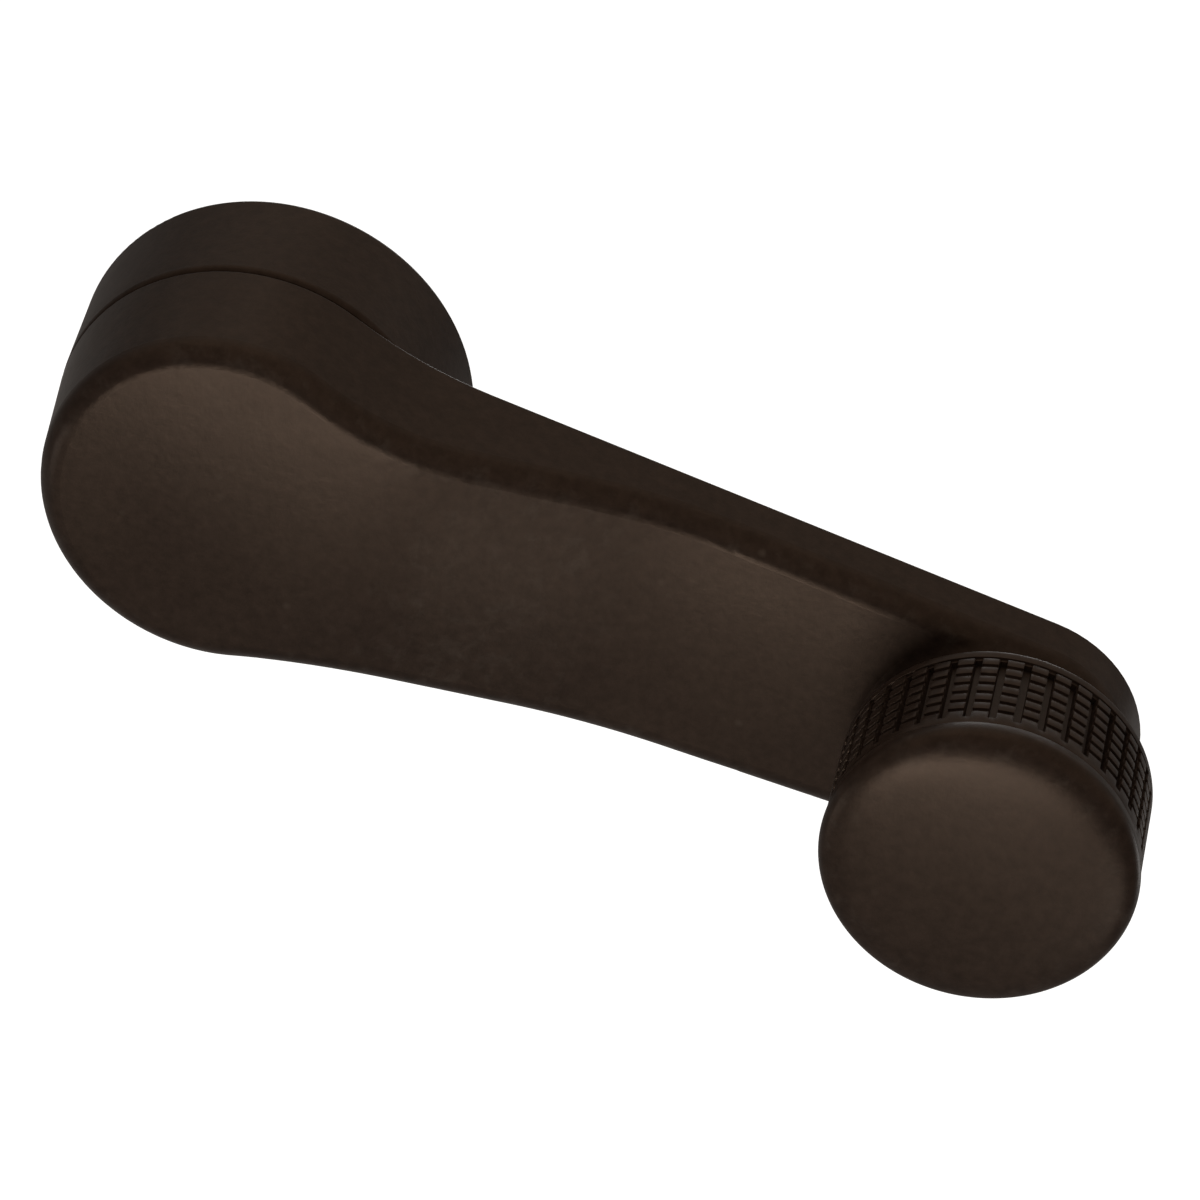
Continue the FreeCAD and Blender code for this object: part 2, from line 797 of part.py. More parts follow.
def stack_levels():
    """Levels of the faces that the knob's washers and bush lie between."""
    collar_front = size.pad_top + size.collar_height
    thrust_front = collar_front + size.thrust_washer_thickness
    hub_back = thrust_front + size.play
    bush_front = hub_back + size.bush_length
    spring_back = bush_front + size.play
    spring_front = spring_back + size.disc_spring_thickness + size.disc_spring_rise
    retainer_front = spring_front + size.retainer_thickness
    return collar_front, thrust_front, hub_back, bush_front, spring_back, spring_front, retainer_front


def ring_section(body, inner, outer, back, front):
    sketch = new_sketch(body, body.Name + "_section", SIDE_PLANE)
    rectangle(sketch, inner, outer, back, front)
    revolve(body, sketch)
    return body


def knob_barrel():
    body = new_body("knob_barrel")
    levels = stack_levels()
    hub_back, bush_front = levels[2], levels[3]
    bush_outer = size.journal_radius + size.running_clearance + size.bush_wall
    hub_bore = bush_outer + size.seat_clearance
    hub_outer = hub_bore + size.knob_hub_wall
    inner = size.grip_radius - size.knob_wall
    web_front = hub_back + size.knob_web
    lip_radius = size.grip_radius - size.lip_inset
    lip_top = size.knob_base + size.lip_height
    corners = [
        (hub_bore, hub_back),
        (inner, hub_back),
        (inner, size.knob_base),
        (lip_radius, size.knob_base),
        (lip_radius, lip_top),
        (size.grip_radius, lip_top),
        (size.grip_radius, size.knob_seam),
        (inner, size.knob_seam),
        (inner, web_front),
        (hub_outer, web_front),
        (hub_outer, bush_front),
        (hub_bore, bush_front),
    ]
    revolve(body, polygon(new_sketch(body, "barrel_section", SIDE_PLANE), corners))
    base = size.knob_base.number + size.seat_clearance.number
    fillet(body, size.lip_edge_radius, lambda point: point.z < base)
    cut_waffle(body)
    return stand(body, size.crank_radius)


def cut_waffle(body):
    """Deep grooves along the knob, then fine cuts round it across the lands between them."""
    grip_back = size.knob_base + size.lip_height
    floor_radius = size.grip_radius - size.groove_depth
    outside = size.grip_radius + size.overrun
    half_groove = size.groove_width / 2
    slot = new_sketch(body, "grip_groove", FLAT_PLANE, grip_back)
    slot.setExpression("AttachmentOffset.Rotation.Angle", size.groove_turn.text)
    rectangle(slot, floor_radius, outside, -half_groove, half_groove)
    groove = pocket(body, slot, size.grip_length)
    repeat_round(body, groove, size.groove_count)
    first_cut = grip_back + size.cut_pitch
    half_cut = size.cut_width / 2
    across = new_sketch(body, "grip_cut", SIDE_PLANE)
    cut_floor = size.grip_radius - size.cut_depth
    rectangle(across, cut_floor, outside, first_cut - half_cut, first_cut + half_cut)
    cut = turned_cut(body, across)
    repeat_along(body, cut, SPINDLE_AXIS, size.cut_pitch * (size.cut_count - 1), size.cut_count)


def knob_cap():
    body = new_body("knob_cap")
    sketch = new_sketch(body, "cap_section", SIDE_PLANE)
    skirt_outer = size.grip_radius - size.knob_wall - size.seat_clearance
    skirt_inner = skirt_outer - size.cap_skirt_wall
    skirt_back = size.knob_seam - size.cap_skirt_depth
    under = size.knob_face - size.cap_wall
    rim_back = size.grip_radius + size.rim_back_step
    rim_front = rim_back + size.rim_flare
    corners = [
        (ZERO, under),
        (skirt_inner, under),
        (skirt_inner, skirt_back),
        (skirt_outer, skirt_back),
        (skirt_outer, size.knob_seam),
        (rim_back, size.knob_seam),
        (rim_front, size.knob_face),
        (ZERO, size.knob_face + size.knob_dome),
    ]
    domed_outline(sketch, corners)
    revolve(body, sketch)
    near_rim = rim_front.number - size.play.number
    fillet(body, size.shoulder_radius, lambda point: math.hypot(point.x, point.y) > near_rim)
    return stand(body, size.crank_radius)


def domed_outline(sketch, corners):
    """Close a section whose last side is a dome that is level on the axis."""
    points = [vector(across, up) for across, up in corners]
    lines = [line(sketch, start, end) for start, end in zip(points, points[1:-1])]
    for first, second in zip(lines, lines[1:]):
        sketch.addConstraint(Sketcher.Constraint("Coincident", first, END, second, START))
    for each, (across, up) in zip(lines, corners):
        fix_point(sketch, each, START, across, up)
    rim, apex = corners[-2], corners[-1]
    fix_point(sketch, lines[-1], END, *rim)
    rise = apex[1] - rim[1]
    dome = (rim[0] * rim[0] + rise * rise) / (2 * rise)
    reach = math.degrees(math.asin(rim[0].number / dome.number))
    quarter = FULL_TURN / 4
    centre = vector(ZERO, apex[1] - dome)
    dome_arc = arc(sketch, centre, dome, quarter - reach, quarter)
    axis = line(sketch, points[-1], points[0])
    sketch.addConstraint(Sketcher.Constraint("Coincident", dome_arc, START, lines[-1], END))
    sketch.addConstraint(Sketcher.Constraint("Coincident", dome_arc, END, axis, START))
    sketch.addConstraint(Sketcher.Constraint("Coincident", axis, END, lines[0], START))
    sketch.addConstraint(Sketcher.Constraint("PointOnObject", dome_arc, CENTRE, VERTICAL))
    fix_point(sketch, axis, START, *apex)


def knob_bush():
    levels = stack_levels()
    inner = size.journal_radius + size.running_clearance
    body = ring_section(new_body("knob_bush"), inner, inner + size.bush_wall, levels[2], levels[3])
    return stand(body, size.crank_radius)


def knob_pin():
    """Shank through the arm, collar on the pad, journal for the knob and groove for its retainer."""
    body = new_body("knob_pin")
    levels = stack_levels()
    collar_front, spring_front, retainer_front = levels[0], levels[5], levels[6]
    washer_back = size.pin_boss_back - size.pin_washer_thickness
    rivet_back = washer_back - size.rivet_height
    pin_end = retainer_front + size.pin_end_length
    corners = [
        (ZERO, rivet_back),
        (size.rivet_radius, rivet_back),
        (size.rivet_radius, washer_back),
        (size.pin_radius, washer_back),
        (size.pin_radius, size.pad_top),
        (size.collar_radius, size.pad_top),
        (size.collar_radius, collar_front),
        (size.journal_radius, collar_front),
        (size.journal_radius, spring_front),
        (size.groove_neck_radius, spring_front),
        (size.groove_neck_radius, retainer_front),
        (size.journal_radius, retainer_front),
        (size.journal_radius, pin_end),
        (ZERO, pin_end),
    ]
    revolve(body, polygon(new_sketch(body, "pin_section", SIDE_PLANE), corners))
    rim = size.rivet_radius.number - size.play.number
    back = rivet_back.number + size.play.number
    edge = size.rivet_height / 2
    fillet(body, edge, lambda point: point.z < back and math.hypot(point.x, point.y) > rim)
    return stand(body, size.crank_radius)


def pin_washer():
    front = size.pin_boss_back
    back = front - size.pin_washer_thickness
    inner = size.pin_radius + size.seat_clearance
    body = ring_section(new_body("pin_washer"), inner, size.pin_washer_radius, back, front)
    return stand(body, size.crank_radius)


def thrust_washer():
    levels = stack_levels()
    inner = size.journal_radius + size.running_clearance
    body = ring_section(new_body("thrust_washer"), inner, size.thrust_washer_radius, levels[0], levels[1])
    return stand(body, size.crank_radius)


def disc_spring():
    """A shallow cone of spring steel, wide side towards the knob."""
    body = new_body("disc_spring")
    back = stack_levels()[4]
    inner = size.journal_radius + size.running_clearance
    outer = size.disc_spring_radius
    corners = [
        (outer, back),
        (outer, back + size.disc_spring_thickness),
        (inner, back + size.disc_spring_rise + size.disc_spring_thickness),
        (inner, back + size.disc_spring_rise),
    ]
    revolve(body, polygon(new_sketch(body, "spring_section", SIDE_PLANE), corners))
    return stand(body, size.crank_radius)


def retaining_ring():
    levels = stack_levels()
    inner = size.groove_neck_radius + size.seat_clearance
    body = ring_section(new_body("retaining_ring"), inner, size.retainer_radius, levels[5], levels[6])
    return stand(body, size.crank_radius)


def check_document():
    """Stop before writing if any step failed without saying so."""
    document.recompute()
    for item in document.Objects:
        if "Invalid" in item.State or "Error" in item.State:
            raise RuntimeError(f"{item.Label} failed")
    for piece in pieces:
        if piece.Shape.isNull() or not piece.Shape.isValid():
            raise RuntimeError(f"{piece.Label} has no sound shape")


def write_pieces():
    os.makedirs("parts", exist_ok=True)
    for piece in pieces:
        piece.Shape.exportStep(os.path.join("parts", piece.Label + ".step"))
        print(f"{piece.Label}: {len(piece.Shape.Solids)} solid, {piece.Shape.Volume:.1f} mm3")


crank_arm()
spindle_insert()
knob_pin()
pin_washer()
thrust_washer()
disc_spring()
retaining_ring()
knob_barrel()
knob_bush()
knob_cap()
lock_ring()
lock_clip()
check_document()
write_pieces()
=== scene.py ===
# %% [markdown]
# # A car window winder handle
#
# This is the crank handle that winds a car window up and down. It is moulded in dark brown-black
# plastic: a round head with a flared ring behind it, a teardrop arm, and a knob with a waffle-ribbed
# grip. The engineering model already holds every piece at its true size, in metres. This lesson loads
# that model, makes the two pieces of the knob that catch the eye again in finer detail, gives every
# piece a finish, and sets up the camera and the lights.

# %% Load the engineering model
import json
import math

import bmesh
import bpy
from mathutils import Matrix, Vector


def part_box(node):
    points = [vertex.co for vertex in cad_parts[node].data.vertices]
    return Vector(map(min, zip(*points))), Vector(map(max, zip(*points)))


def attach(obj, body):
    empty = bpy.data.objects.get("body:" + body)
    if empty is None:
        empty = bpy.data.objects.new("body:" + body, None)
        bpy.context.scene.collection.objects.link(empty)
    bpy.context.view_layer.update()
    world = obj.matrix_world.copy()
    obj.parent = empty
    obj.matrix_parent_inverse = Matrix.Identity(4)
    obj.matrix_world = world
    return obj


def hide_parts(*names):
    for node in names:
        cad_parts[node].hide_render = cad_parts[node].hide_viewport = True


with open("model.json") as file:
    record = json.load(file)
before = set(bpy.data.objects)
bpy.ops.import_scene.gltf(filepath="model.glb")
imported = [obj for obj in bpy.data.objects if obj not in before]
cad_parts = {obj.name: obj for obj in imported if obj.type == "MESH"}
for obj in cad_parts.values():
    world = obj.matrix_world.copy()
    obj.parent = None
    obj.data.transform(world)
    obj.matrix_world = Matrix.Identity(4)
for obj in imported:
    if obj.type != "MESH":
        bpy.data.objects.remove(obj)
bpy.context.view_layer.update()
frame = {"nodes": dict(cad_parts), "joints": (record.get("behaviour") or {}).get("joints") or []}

MILLIMETRE = 0.001
nodes = frame["nodes"]


def millimetres(length):
    return round(length / MILLIMETRE, 2)


print("pieces in the model:", ", ".join(sorted(nodes)))

# %% [markdown]
# ## Where the knob sits
#
# The knob turns on a pin at the far end of the arm. The pin's centre line comes from the joint in the
# record, and the knob's radii and levels come from the boxes of the solids that it stands for. A level
# is a height above the door, and it is measured along the axis that points out of the door, which is
# minus Y here.

# %% Read the knob's place and sizes
knob_joint = next(joint for joint in frame["joints"] if joint["name"] == "knob_spin")
knob_across = knob_joint["pos_m"][0]


def levels_of(node):
    low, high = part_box(node)
    return -high.y, -low.y


def radius_of(node):
    low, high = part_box(node)
    return (high.z - low.z) / 2


grip_base, grip_seam = levels_of("knob_barrel")
grip_radius = radius_of("knob_barrel")
cap_back, cap_top = levels_of("knob_cap")
bush_back, bush_front = levels_of("knob_bush")
bush_radius = radius_of("knob_bush")
print("knob axis at x", millimetres(knob_across), "mm, grip radius", millimetres(grip_radius), "mm")
print("grip from level", millimetres(grip_base), "to", millimetres(grip_seam), "mm")

# %% [markdown]
# ## Helpers for modelling by hand
#
# Blender's operators act on whatever is selected, and the loaded model is selected to begin with. So
# everything is deselected before a new piece starts. In edit mode the faces and edges to work on are
# picked by where they are and which way they face, as a modeller would click them.

# %% Define the selection helpers
def start_clean():
    if bpy.context.object and bpy.context.object.mode != "OBJECT":
        bpy.ops.object.mode_set(mode="OBJECT")
    bpy.ops.object.select_all(action="DESELECT")


def select_only(piece):
    start_clean()
    piece.select_set(True)
    bpy.context.view_layer.objects.active = piece


def pick(piece, kind, wanted):
    """Select those of the piece's faces or edges that are wanted, and count them."""
    mesh = bmesh.from_edit_mesh(piece.data)
    mesh.normal_update()
    bpy.ops.mesh.select_all(action="DESELECT")
    chosen = [part for part in getattr(mesh, kind) if wanted(part)]
    for part in chosen:
        part.select_set(True)
    bmesh.update_edit_mesh(piece.data)
    return len(chosen)


def is_open(edge):
    return edge.is_boundary


def distance_out(point):
    return math.hypot(point.x, point.y)


# %% Define how a turned piece is started
def add_ring(name, radius, level, columns, fill="NOTHING", turn=0.0):
    """Add a flat ring of corners at a level, empty or filled, and go to edit mode to shape it."""
    start_clean()
    bpy.ops.mesh.primitive_circle_add(
        vertices=columns, radius=radius, fill_type=fill, location=(0, 0, level), rotation=(0, 0, turn))
    piece = bpy.context.object
    piece.name = name
    bpy.ops.object.transform_apply(location=True, rotation=True, scale=True)
    bpy.ops.object.mode_set(mode="EDIT")
    return piece


# %% Define the extrude helpers
def extrude_up(rise):
    bpy.ops.mesh.extrude_region_move(TRANSFORM_OT_translate={"value": (0, 0, rise)})


def widen(factor):
    bpy.ops.transform.resize(value=(factor, factor, 1), center_override=(0, 0, 0))


def extrude_out(factor):
    extrude_up(0)
    widen(factor)


def walk_profile(start, corners):
    """Extrude the selected ring from corner to corner; a corner is a radius and a level."""
    radius, level = start
    for next_radius, next_level in corners:
        extrude_up(next_level - level)
        widen(next_radius / radius)
        radius, level = next_radius, next_level


# %% Define how a turned piece is finished
EDGE_SOFTNESS = 0.09 * MILLIMETRE
EDGE_STEPS = 2
SHARP_ANGLE = math.radians(40)


def soften_edges(piece):
    select_only(piece)
    bevel = piece.modifiers.new("soft edges", "BEVEL")
    bevel.width = EDGE_SOFTNESS
    bevel.segments = EDGE_STEPS
    bevel.limit_method = "ANGLE"
    bevel.angle_limit = SHARP_ANGLE
    bpy.ops.object.modifier_apply(modifier=bevel.name)
    bpy.ops.object.shade_smooth_by_angle(angle=SHARP_ANGLE)


def stand_on_arm(piece):
    """Pieces of the knob are made upright at the middle of the scene, then laid on the pin's line."""
    select_only(piece)
    piece.rotation_euler = (math.pi / 2, 0, 0)
    piece.location = (knob_across, 0, 0)
    bpy.ops.object.transform_apply(location=True, rotation=True, scale=True)


# %% [markdown]
# ## The waffle-ribbed grip
#
# Fingers hold the knob by forty upright lands with deep grooves between them, and six fine cuts run
# round the knob across the lands. A plain lip closes the grip at its foot and a plain rim at its top,
# with a thin shadow line above the lip. A bump texture would leave the outline smooth, so the ribs are
# real geometry. The wall starts as a plain ring at the bottom of the grooves, with four columns for
# each land and two for each groove. The lands are then pushed out to the bottom of the fine cuts, and
# the little tiles between the cuts are pushed out to full size, so no face is left inside the wall.

# %% Decide the columns and rows of the grip
GROOVES = 40
LAND_COLUMNS = 4
GROOVE_COLUMNS = 2
COLUMNS = GROOVES * (LAND_COLUMNS + GROOVE_COLUMNS)
FIRST_GROOVE = math.radians(7)
GROOVE_DEPTH = 1.0 * MILLIMETRE
LIP_HEIGHT = 1.3 * MILLIMETRE
SHADOW_LINE = 0.3 * MILLIMETRE
BAND_LENGTH = 11.4 * MILLIMETRE
CUTS = 6
CUT_PITCH = 1.68 * MILLIMETRE
CUT_WIDTH = 0.6 * MILLIMETRE
CUT_DEPTH = 0.3 * MILLIMETRE

lip_top = grip_base + LIP_HEIGHT
band_top = lip_top + BAND_LENGTH
rows = [("lip", grip_base, lip_top), ("line", lip_top, lip_top + SHADOW_LINE)]
for number in range(1, CUTS + 1):
    middle = lip_top + number * CUT_PITCH
    rows.append(("tile", rows[-1][2], middle - CUT_WIDTH / 2))
    rows.append(("cut", middle - CUT_WIDTH / 2, middle + CUT_WIDTH / 2))
rows.append(("tile", rows[-1][2], band_top))
rows.append(("rim", band_top, grip_seam))
print("rows up the grip:", " ".join(kind for kind, low, high in rows))

# %% Tell lands from grooves and rows from each other
OUTWARD_SHARE = 0.9


def row_kind(level):
    return next((kind for kind, low, high in rows if low < level < high), "none")


def in_groove(point):
    pitch = 2 * math.pi / GROOVES
    turn = (math.atan2(point.y, point.x) - FIRST_GROOVE + pitch / 2) % pitch - pitch / 2
    return abs(turn) < math.pi * GROOVE_COLUMNS / COLUMNS


def faces_out(face):
    middle, normal = face.calc_center_median(), face.normal
    return normal.x * middle.x + normal.y * middle.y > OUTWARD_SHARE * distance_out(middle)


# %% Raise the plain wall and turn its faces outwards
floor_radius = grip_radius - GROOVE_DEPTH
grip = add_ring("knob_grip", floor_radius, grip_base, COLUMNS, turn=FIRST_GROOVE)
bpy.ops.mesh.select_all(action="SELECT")
for kind, low, high in rows:
    extrude_up(high - low)
bpy.ops.mesh.select_all(action="SELECT")
bpy.ops.mesh.normals_make_consistent(inside=False)
mesh = bmesh.from_edit_mesh(grip.data)
mesh.normal_update()
outward = sum(faces_out(face) for face in mesh.faces)
if outward < len(mesh.faces) / 2:
    bpy.ops.mesh.flip_normals()
print("faces in the plain wall:", len(mesh.faces))

# %% Push out the lands, then the tiles
cut_radius = grip_radius - CUT_DEPTH


def is_raised(face):
    middle = face.calc_center_median()
    return not in_groove(middle) or row_kind(middle.z) in ("lip", "line", "rim")


def is_tile(face):
    middle = face.calc_center_median()
    kind = row_kind(middle.z)
    full_size = kind in ("lip", "rim") or (kind == "tile" and not in_groove(middle))
    raised = distance_out(middle) > (cut_radius + floor_radius) / 2
    return full_size and raised and faces_out(face)


lands = pick(grip, "faces", is_raised)
extrude_out(cut_radius / floor_radius)
tiles = pick(grip, "faces", is_tile)
extrude_out(grip_radius / cut_radius)
print("faces pushed out: lands", lands, "and tiles", tiles)

# %% [markdown]
# ## The inside of the grip
#
# Behind the ribs the knob is a cup. A thin web carries a hub, and the hub holds the bearing bush.
# Nobody sees it while the cap is on, but the piece is closed all the same, so it is a real solid that
# can be printed. The open ring at the top is extruded along the inner profile until it meets the ring
# at the base.

# %% Walk the inner profile and close it
WALL = 2.6 * MILLIMETRE
WEB = 2.0 * MILLIMETRE
HUB_WALL = 2.0 * MILLIMETRE
SLIDE = 0.1 * MILLIMETRE
SAME_PLACE = 0.1 * MILLIMETRE
MERGE_DISTANCE = 0.01 * MILLIMETRE

inner_radius = grip_radius - WALL
hub_bore = bush_radius + SLIDE
hub_radius = hub_bore + HUB_WALL
web_front = bush_back + WEB


def is_open_top(edge):
    return is_open(edge) and all(abs(corner.co.z - grip_seam) < SAME_PLACE for corner in edge.verts)


pick(grip, "edges", is_open_top)
walk_profile((floor_radius, grip_seam), [
    (inner_radius, grip_seam),
    (inner_radius, web_front),
    (hub_radius, web_front),
    (hub_radius, bush_front),
    (hub_bore, bush_front),
    (hub_bore, bush_back),
    (inner_radius, bush_back),
    (inner_radius, grip_base),
    (floor_radius, grip_base),
])
bpy.ops.mesh.select_all(action="SELECT")
bpy.ops.mesh.remove_doubles(threshold=MERGE_DISTANCE)
bpy.ops.mesh.normals_make_consistent(inside=False)
mesh = bmesh.from_edit_mesh(grip.data)
print("open edges left:", sum(is_open(edge) for edge in mesh.edges))

# %% Round the lip's lower edge
LIP_ROUNDING = 0.4 * MILLIMETRE
LIP_STEPS = 4


def is_lip_edge(edge):
    return all(abs(corner.co.z - grip_base) < SAME_PLACE
               and distance_out(corner.co) > grip_radius - SAME_PLACE for corner in edge.verts)


rounded = pick(grip, "edges", is_lip_edge)
bpy.ops.mesh.bevel(offset=LIP_ROUNDING, segments=LIP_STEPS, affect="EDGES")
print("edges rounded on the lip:", rounded)

# %% Soften every moulded edge and stand the grip on the arm
soften_edges(grip)
stand_on_arm(grip)
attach(grip, "knob")
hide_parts("knob_barrel")
print("faces in the finished grip:", len(grip.data.polygons))

# %% [markdown]
# ## The knob's cap
#
# The cap is a shallow lid. It has a rim that flares a little, a rounded corner and a slightly domed
# face that rolls off softly towards its edge, and a short skirt holds it in the cup below. One ring is
# walked along the section of the cap, and the face is a stack of ever smaller rings whose levels
# follow a smooth curve. Light shows at once where a curve starts too suddenly, so the roll-off grows
# little by little from the middle out.

# %% Decide the cap's section
CAP_COLUMNS = 192
SKIRT_WALL = 1.3 * MILLIMETRE
CAP_WALL = 2.0 * MILLIMETRE
DOME = 1.0 * MILLIMETRE
ROLL_OFF = 1.0 * MILLIMETRE
ROLL_OFF_POWER = 11
RIM_STEP = 0.05 * MILLIMETRE
RIM_FLARE = 0.16 * MILLIMETRE
RING_SHARES = (
    0.93, 0.90, 0.87, 0.84, 0.81, 0.78, 0.75, 0.71, 0.66, 0.60, 0.52, 0.42, 0.30, 0.18, 0.09, 0.03)

face_level = cap_top - DOME - ROLL_OFF
underside = face_level - CAP_WALL
rim_low_radius = grip_radius + RIM_STEP
rim_high_radius = rim_low_radius + RIM_FLARE
skirt_radius = inner_radius - SLIDE
skirt_inside = skirt_radius - SKIRT_WALL


def dome_level(radius):
    share = radius / rim_high_radius
    return cap_top - DOME * share ** 2 - ROLL_OFF * share ** ROLL_OFF_POWER


dome_rings = [rim_high_radius * share for share in RING_SHARES]
print("the face drops", millimetres(cap_top - face_level), "mm from its middle to its edge")

# %% Walk the section and close the crown
cap = add_ring("knob_face", skirt_inside, underside, CAP_COLUMNS, fill="NGON")
pick(cap, "edges", is_open)
walk_profile((skirt_inside, underside), [
    (skirt_inside, cap_back),
    (skirt_radius, cap_back),
    (skirt_radius, grip_seam),
    (rim_low_radius, grip_seam),
    (rim_high_radius, face_level),
    *[(radius, dome_level(radius)) for radius in dome_rings],
])
bpy.ops.mesh.merge(type="CENTER")
bpy.ops.mesh.select_all(action="SELECT")
bpy.ops.mesh.normals_make_consistent(inside=False)
print("faces in the cap so far:", len(bmesh.from_edit_mesh(cap.data).faces))

# %% Round the rim's corner
CORNER = 1.0 * MILLIMETRE
CORNER_STEPS = 12


def is_rim_corner(edge):
    return all(distance_out(corner.co) > rim_high_radius - SAME_PLACE
               and corner.co.z > face_level - SAME_PLACE for corner in edge.verts)


rounded = pick(cap, "edges", is_rim_corner)
bpy.ops.mesh.bevel(offset=CORNER, segments=CORNER_STEPS, affect="EDGES")
print("edges rounded on the rim:", rounded)

# %% Soften the cap's edges and stand it on the arm
soften_edges(cap)
stand_on_arm(cap)
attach(cap, "knob")
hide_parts("knob_cap")
print("faces in the finished cap:", len(cap.data.polygons))

# %% [markdown]
# ## Finishes made of nodes
#
# Every finish is built from procedural textures on object coordinates, so it needs no picture and
# keeps its scale on every piece. One helper makes the material and hands back what the finishes need,
# a few more add one kind of node each, and another joins the results to the shader.

# %% Define how a finish is started and finished
def new_finish(name):
    material = bpy.data.materials.new(name)
    material.use_nodes = True
    shader = material.node_tree.nodes["Principled BSDF"]
    place = material.node_tree.nodes.new("ShaderNodeTexCoord")
    return material, shader, place.outputs["Object"]


def join_shader(material, shader, colour, roughness, normal=None):
    links = material.node_tree.links
    links.new(colour, shader.inputs["Base Color"])
    links.new(roughness, shader.inputs["Roughness"])
    if normal is not None:
        links.new(normal, shader.inputs["Normal"])
    print("made", material.name)


# %% Define the texture and number helpers
NONE_TO_ALL = (0, 1)
ALL_TO_NONE = (1, 0)


def add_noise(material, place, scale, detail=2.0, roughness=0.5, distortion=0.0):
    noise = material.node_tree.nodes.new("ShaderNodeTexNoise")
    noise.inputs["Scale"].default_value = scale
    noise.inputs["Detail"].default_value = detail
    noise.inputs["Roughness"].default_value = roughness
    noise.inputs["Distortion"].default_value = distortion
    material.node_tree.links.new(place, noise.inputs["Vector"])
    return noise.outputs["Fac"]


def remap(material, value, old_range, new_range):
    ranged = material.node_tree.nodes.new("ShaderNodeMapRange")
    sockets = ("From Min", "From Max", "To Min", "To Max")
    for socket, number in zip(sockets, (*old_range, *new_range)):
        ranged.inputs[socket].default_value = number
    material.node_tree.links.new(value, ranged.inputs["Value"])
    return ranged.outputs["Result"]


def multiply(material, first, second):
    product = material.node_tree.nodes.new("ShaderNodeMath")
    product.operation = "MULTIPLY"
    material.node_tree.links.new(first, product.inputs[0])
    material.node_tree.links.new(second, product.inputs[1])
    return product.outputs["Value"]


# %% Define the colour and bump helpers
# The Mix node has sockets of one name for numbers, vectors and colours, so its colours go by number.
FIRST_COLOUR = 6
SECOND_COLOUR = 7
MIXED_COLOUR = 2


def mix_colours(material, share, first, second):
    """Each colour is three numbers, or the output of another node."""
    mix = material.node_tree.nodes.new("ShaderNodeMix")
    mix.data_type = "RGBA"
    material.node_tree.links.new(share, mix.inputs["Factor"])
    for number, colour in ((FIRST_COLOUR, first), (SECOND_COLOUR, second)):
        if isinstance(colour, tuple):
            mix.inputs[number].default_value = (*colour, 1)
        else:
            material.node_tree.links.new(colour, mix.inputs[number])
    return mix.outputs[MIXED_COLOUR]


def scale_colour(material, colour, share):
    scaled = material.node_tree.nodes.new("ShaderNodeVectorMath")
    scaled.operation = "SCALE"
    material.node_tree.links.new(colour, scaled.inputs[0])
    material.node_tree.links.new(share, scaled.inputs["Scale"])
    return scaled.outputs["Vector"]


def add_bump(material, height, strength, depth, under=None):
    bump = material.node_tree.nodes.new("ShaderNodeBump")
    bump.inputs["Strength"].default_value = strength
    bump.inputs["Distance"].default_value = depth
    material.node_tree.links.new(height, bump.inputs["Height"])
    if under is not None:
        material.node_tree.links.new(under, bump.inputs["Normal"])
    return bump.outputs["Normal"]


# %% [markdown]
# ## The moulded plastic
#
# The arm, the ring and the knob are moulded in plastic that is coloured right through. The mould's
# surface is finely eroded, which leaves a mottled grain like very fine leather and makes the shine
# satin. Years of hands have rubbed the rounded edges smoother in patches. The same patches are painted
# paler, which is partly wear and partly a painted highlight along the rounded edges. On top come broad,
# faint differences in colour, an uneven gloss and a little dust.
#
# The rounded edges are found by the way that they face: the flat faces look straight out of the door
# and the walls look sideways, so whatever looks somewhere between the two is an edge.

# %% Find the rounded edges
WALL_TO_EDGE = (-0.30, -0.75)
FACE_TO_EDGE = (-0.998, -0.975)


def edge_share(material):
    tree = material.node_tree
    facing = tree.nodes.new("ShaderNodeTexCoord")
    split = tree.nodes.new("ShaderNodeSeparateXYZ")
    tree.links.new(facing.outputs["Normal"], split.inputs["Vector"])
    off_the_wall = remap(material, split.outputs["Y"], WALL_TO_EDGE, NONE_TO_ALL)
    off_the_face = remap(material, split.outputs["Y"], FACE_TO_EDGE, NONE_TO_ALL)
    return multiply(material, off_the_wall, off_the_face)


# %% Scatter a little dust
DUST = (0.085, 0.068, 0.054)
SPECK_SCALE = 420
SPECK_EDGE = (0.05, 0.24)
DRIFT_SCALE = 120
DRIFT_EDGE = (0.60, 0.72)
MOST_DUST = 0.25


def dust_share(material, place):
    specks = material.node_tree.nodes.new("ShaderNodeTexVoronoi")
    specks.inputs["Scale"].default_value = SPECK_SCALE
    material.node_tree.links.new(place, specks.inputs["Vector"])
    dots = remap(material, specks.outputs["Distance"], SPECK_EDGE, ALL_TO_NONE)
    drifts = remap(material, add_noise(material, place, DRIFT_SCALE), DRIFT_EDGE, (0, MOST_DUST))
    return multiply(material, dots, drifts)


# %% Mix the plastic's colour
DARK = (0.0138, 0.0087, 0.0066)
# The pale colour of the rubbed patches on the edges: partly wear, partly a painted highlight.
WORN_AND_HIGHLIGHT = (0.034, 0.026, 0.021)
TONE_SCALE = 45
TONE_RANGE = (0.35, 0.65)
MOTTLE_RANGE = (0.3, 0.7)
MOTTLE_SHARES = (0.72, 1.28)
WEAR_AND_HIGHLIGHT_SCALE = 420
WEAR_AND_HIGHLIGHT_RANGE = (0.52, 0.75)
MOST_WEAR_AND_HIGHLIGHT = 0.6


